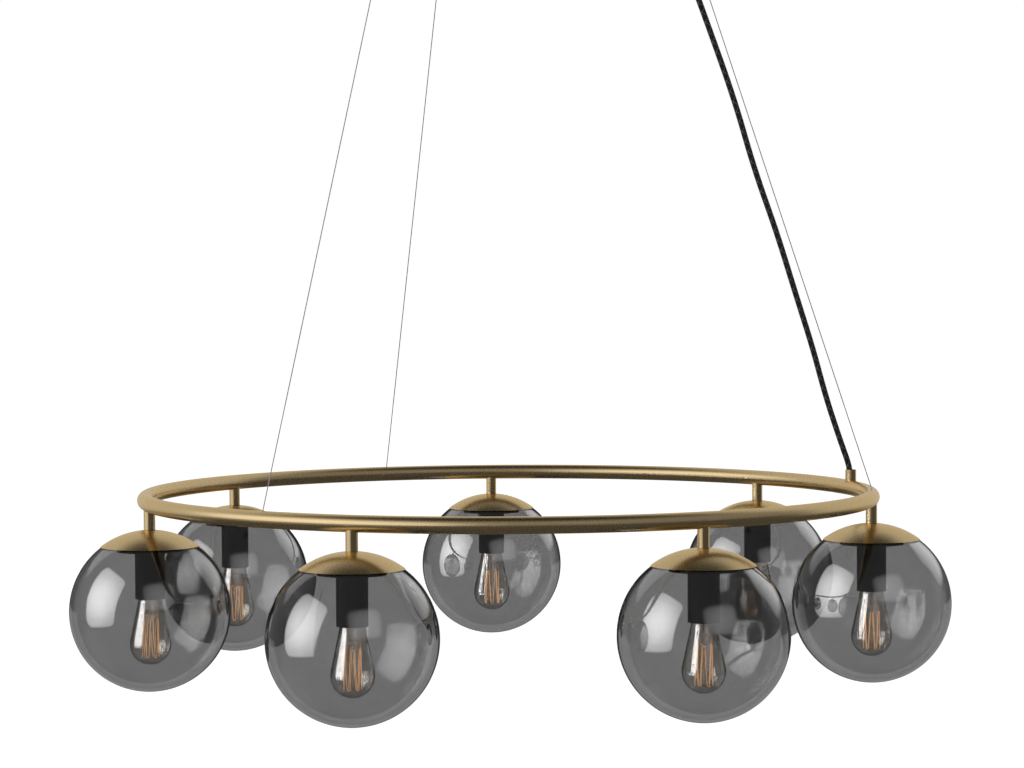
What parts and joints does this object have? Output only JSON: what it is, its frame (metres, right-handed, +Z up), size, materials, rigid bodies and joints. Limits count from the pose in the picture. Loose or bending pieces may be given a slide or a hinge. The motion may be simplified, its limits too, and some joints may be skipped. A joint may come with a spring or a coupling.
{
  "type": "cluster pendant",
  "caption": "Ring pendant lamp: smoked glass globes on short stems under a round brass tube, hung from a ceiling canopy on thin steel wires with a braided power cable.",
  "frame": {"origin": "centre of the ceiling plate's upper face, where it meets the ceiling", "axes": "+Z up into the ceiling; +X to the right and -Y towards the viewer of the picture"},
  "size_m": [1.3792, 1.3647, 1.7609],
  "materials": {
    "satin_brass": "satin aged brass, fine brushed grain, clear lacquer",
    "smoke_glass": "clear smoke-grey blown glass, polished",
    "bulb_glass": "clear bulb glass, faint warm tint",
    "filament_metal": "gold-coloured filament and screw base",
    "black_holder": "matt black moulded plastic",
    "zinc_steel": "zinc-plated steel",
    "nickel": "nickel-plated brass, polished",
    "wire_steel": "stranded stainless steel wire",
    "braid_black": "black textile braid with grey flecks",
    "core_insulation": "grey insulated cores",
    "white_plastic": "white moulded polyamide"
  },
  "bodies": {
    "frame": {"ring_tube": "satin_brass", "stems": "satin_brass", "cord_gland": "satin_brass", "cap_1": "satin_brass", "cap_2": "satin_brass", "cap_3": "satin_brass", "cap_4": "satin_brass", "cap_5": "satin_brass", "cap_6": "satin_brass", "cap_7": "satin_brass", "lampholder_1": "black_holder", "lampholder_2": "black_holder", "lampholder_3": "black_holder", "lampholder_4": "black_holder", "lampholder_5": "black_holder", "lampholder_6": "black_holder", "lampholder_7": "black_holder", "globe_carriers": "black_holder", "gland_insert": "black_holder", "cable_clamp": "black_holder", "nipples": "zinc_steel", "ceiling_plate": "zinc_steel", "wire_ferrules": "zinc_steel", "wire_grippers": "satin_brass", "suspension_wire_1": "wire_steel", "suspension_wire_2": "wire_steel", "suspension_wire_3": "wire_steel", "power_cable": "braid_black", "ring_wiring": "core_insulation", "supply_leads": "core_insulation", "terminal_block": "white_plastic"},
    "canopy": {"canopy_cover": "satin_brass", "cover_screws": "satin_brass", "cord_bush": "satin_brass"},
    "shade_1": {"globe_1": "smoke_glass"},
    "shade_2": {"globe_2": "smoke_glass"},
    "shade_3": {"globe_3": "smoke_glass"},
    "shade_4": {"globe_4": "smoke_glass"},
    "shade_5": {"globe_5": "smoke_glass"},
    "shade_6": {"globe_6": "smoke_glass"},
    "shade_7": {"globe_7": "smoke_glass"},
    "bulb_1": {"bulb_glass_1": "bulb_glass", "bulb_base_1": "filament_metal"},
    "bulb_2": {"bulb_glass_2": "bulb_glass", "bulb_base_2": "filament_metal"},
    "bulb_3": {"bulb_glass_3": "bulb_glass", "bulb_base_3": "filament_metal"},
    "bulb_4": {"bulb_glass_4": "bulb_glass", "bulb_base_4": "filament_metal"},
    "bulb_5": {"bulb_glass_5": "bulb_glass", "bulb_base_5": "filament_metal"},
    "bulb_6": {"bulb_glass_6": "bulb_glass", "bulb_base_6": "filament_metal"},
    "bulb_7": {"bulb_glass_7": "bulb_glass", "bulb_base_7": "filament_metal"},
    "plunger_1": {"gripper_plunger_1": "nickel"},
    "plunger_2": {"gripper_plunger_2": "nickel"},
    "plunger_3": {"gripper_plunger_3": "nickel"}
  },
  "joints": [
    {"name": "canopy_slide", "type": "slide", "parent": "frame", "child": "canopy", "axis": [0, 0, -1], "range_m": [0, 0.028]},
    {"name": "globe_1_twist", "type": "hinge", "parent": "frame", "child": "shade_1", "pos_m": [0.57171, -0.09772, -1.6359], "axis": [0, 0, 1], "range_deg": [0, 45]},
    {"name": "globe_2_twist", "type": "hinge", "parent": "frame", "child": "shade_2", "pos_m": [0.43286, 0.38605, -1.6359], "axis": [0, 0, 1], "range_deg": [0, 45]},
    {"name": "globe_3_twist", "type": "hinge", "parent": "frame", "child": "shade_3", "pos_m": [-0.03194, 0.57912, -1.6359], "axis": [0, 0, 1], "range_deg": [0, 45]},
    {"name": "globe_4_twist", "type": "hinge", "parent": "frame", "child": "shade_4", "pos_m": [-0.47269, 0.3361, -1.6359], "axis": [0, 0, 1], "range_deg": [0, 45]},
    {"name": "globe_5_twist", "type": "hinge", "parent": "frame", "child": "shade_5", "pos_m": [-0.55749, -0.16001, -1.6359], "axis": [0, 0, 1], "range_deg": [0, 45]},
    {"name": "globe_6_twist", "type": "hinge", "parent": "frame", "child": "shade_6", "pos_m": [-0.22249, -0.53563, -1.6359], "axis": [0, 0, 1], "range_deg": [0, 45]},
    {"name": "globe_7_twist", "type": "hinge", "parent": "frame", "child": "shade_7", "pos_m": [0.28005, -0.50791, -1.6359], "axis": [0, 0, 1], "range_deg": [0, 45]},
    {"name": "bulb_1_unscrew", "type": "hinge", "parent": "frame", "child": "bulb_1", "pos_m": [0.57171, -0.09772, -1.6359], "axis": [0, 0, 1], "range_deg": [-900, 0]},
    {"name": "bulb_2_unscrew", "type": "hinge", "parent": "frame", "child": "bulb_2", "pos_m": [0.43286, 0.38605, -1.6359], "axis": [0, 0, 1], "range_deg": [-900, 0]},
    {"name": "bulb_3_unscrew", "type": "hinge", "parent": "frame", "child": "bulb_3", "pos_m": [-0.03194, 0.57912, -1.6359], "axis": [0, 0, 1], "range_deg": [-900, 0]},
    {"name": "bulb_4_unscrew", "type": "hinge", "parent": "frame", "child": "bulb_4", "pos_m": [-0.47269, 0.3361, -1.6359], "axis": [0, 0, 1], "range_deg": [-900, 0]},
    {"name": "bulb_5_unscrew", "type": "hinge", "parent": "frame", "child": "bulb_5", "pos_m": [-0.55749, -0.16001, -1.6359], "axis": [0, 0, 1], "range_deg": [-900, 0]},
    {"name": "bulb_6_unscrew", "type": "hinge", "parent": "frame", "child": "bulb_6", "pos_m": [-0.22249, -0.53563, -1.6359], "axis": [0, 0, 1], "range_deg": [-900, 0]},
    {"name": "bulb_7_unscrew", "type": "hinge", "parent": "frame", "child": "bulb_7", "pos_m": [0.28005, -0.50791, -1.6359], "axis": [0, 0, 1], "range_deg": [-900, 0]},
    {"name": "gripper_1_release", "type": "slide", "parent": "frame", "child": "plunger_1", "axis": [0, 0, 1], "range_m": [0, 0.002], "stiffness_N_per_m": 1500, "springref_m": -0.001},
    {"name": "gripper_2_release", "type": "slide", "parent": "frame", "child": "plunger_2", "axis": [0, 0, 1], "range_m": [0, 0.002], "stiffness_N_per_m": 1500, "springref_m": -0.001},
    {"name": "gripper_3_release", "type": "slide", "parent": "frame", "child": "plunger_3", "axis": [0, 0, 1], "range_m": [0, 0.002], "stiffness_N_per_m": 1500, "springref_m": -0.001}
  ]
}
